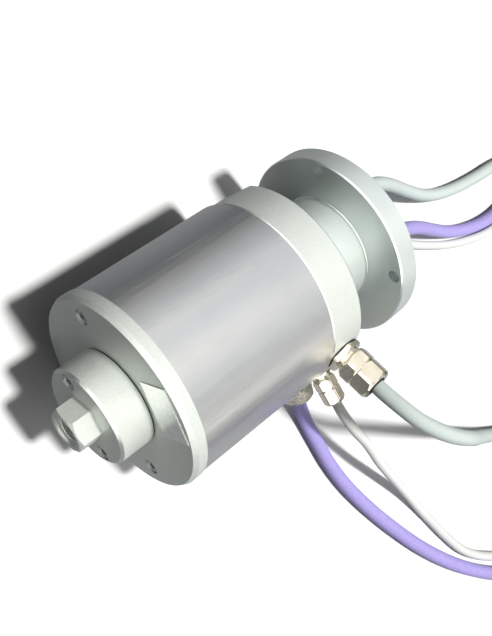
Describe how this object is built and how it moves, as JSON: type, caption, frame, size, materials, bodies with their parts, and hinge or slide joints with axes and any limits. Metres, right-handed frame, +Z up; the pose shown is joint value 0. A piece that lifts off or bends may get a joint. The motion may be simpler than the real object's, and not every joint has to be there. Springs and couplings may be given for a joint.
{
  "type": "slip ring",
  "caption": "Electrical slip ring with a central rotary union: a flanged rotor turns in a cylindrical stator, and cables leave both through glands and grommets.",
  "frame": {"origin": "centre of the rotor flange's mounting face, on the axis of rotation", "axes": "+X out of the rotor flange along the axis of rotation, +Z up from the surface that the unit lies on, 50 mm below the axis; the stator's cable glands point towards -Y"},
  "size_m": [0.5057, 0.3875, 0.1],
  "materials": {
    "satin_aluminium": "bead-blasted and clear anodised, satin",
    "turned_aluminium": "turned and clear anodised, satin",
    "casing_metal": "smooth drawn tube, glossy, with fine scratches",
    "plate_metal": "thin bare label plate, satin",
    "stainless_steel": "machined",
    "bearing_steel": "ground and polished",
    "spring_steel": "blackened",
    "cage_brass": "pressed",
    "bronze": "turned",
    "black_rubber": "matt",
    "gold_plated": "gold plated, bright",
    "ring_insulation": "turned epoxy, matt",
    "brush_board": "glass-epoxy block, matt",
    "nickel_plated_brass": "nickel plated, bright",
    "grey_sheath": "extruded PVC, silky",
    "white_sheath": "extruded PVC, silky",
    "violet_sheath": "extruded PVC, silky",
    "tie_nylon": "moulded"
  },
  "bodies": {
    "stator": {"port_fitting": "satin_aluminium", "port_o_ring": "black_rubber", "union_hub": "satin_aluminium", "hub_seal": "black_rubber", "hub_screws": "stainless_steel", "union_seals": "black_rubber", "union_bush": "bronze", "front_cap": "satin_aluminium", "tie_screws": "stainless_steel", "rating_plate": "plate_metal", "casing_tube": "casing_metal", "casing_o_rings": "black_rubber", "rear_cap": "satin_aluminium", "shaft_seal": "black_rubber", "front_bearing_outer": "bearing_steel", "rear_bearing_outer": "bearing_steel", "bearing_circlip": "spring_steel", "brush_block": "brush_board", "brush_rods": "stainless_steel", "brush_wires": "gold_plated", "gland_bodies": "nickel_plated_brass", "gland_nuts": "nickel_plated_brass", "small_gland_body": "nickel_plated_brass", "small_gland_nut": "nickel_plated_brass", "gland_inserts": "black_rubber", "gland_o_rings": "black_rubber", "stator_grey_cable": "grey_sheath", "stator_grey_coil": "grey_sheath", "stator_grey_ties": "tie_nylon", "stator_white_cable": "white_sheath", "stator_white_coil": "white_sheath", "stator_white_ties": "tie_nylon", "stator_violet_cable": "violet_sheath", "stator_violet_coil": "violet_sheath", "stator_violet_ties": "tie_nylon"},
    "rotor": {"rotor_flange": "turned_aluminium", "rotor_shaft": "stainless_steel", "union_tube": "stainless_steel", "slip_rings": "gold_plated", "ring_insulators": "ring_insulation", "ring_nut": "stainless_steel", "spacer_sleeve": "turned_aluminium", "front_bearing_inner": "bearing_steel", "front_bearing_balls": "bearing_steel", "front_bearing_cage": "cage_brass", "rear_bearing_inner": "bearing_steel", "rear_bearing_balls": "bearing_steel", "rear_bearing_cage": "cage_brass", "cable_grommets": "black_rubber", "rotor_grey_cable": "grey_sheath", "rotor_grey_coil": "grey_sheath", "rotor_grey_ties": "tie_nylon", "rotor_white_cable": "white_sheath", "rotor_white_coil": "white_sheath", "rotor_white_ties": "tie_nylon", "rotor_violet_cable": "violet_sheath", "rotor_violet_coil": "violet_sheath", "rotor_violet_ties": "tie_nylon"}
  },
  "joints": [
    {"name": "rotor_spin", "type": "hinge", "parent": "stator", "child": "rotor", "pos_m": [0, 0, 0], "axis": [1, 0, 0], "continuous": true}
  ]
}
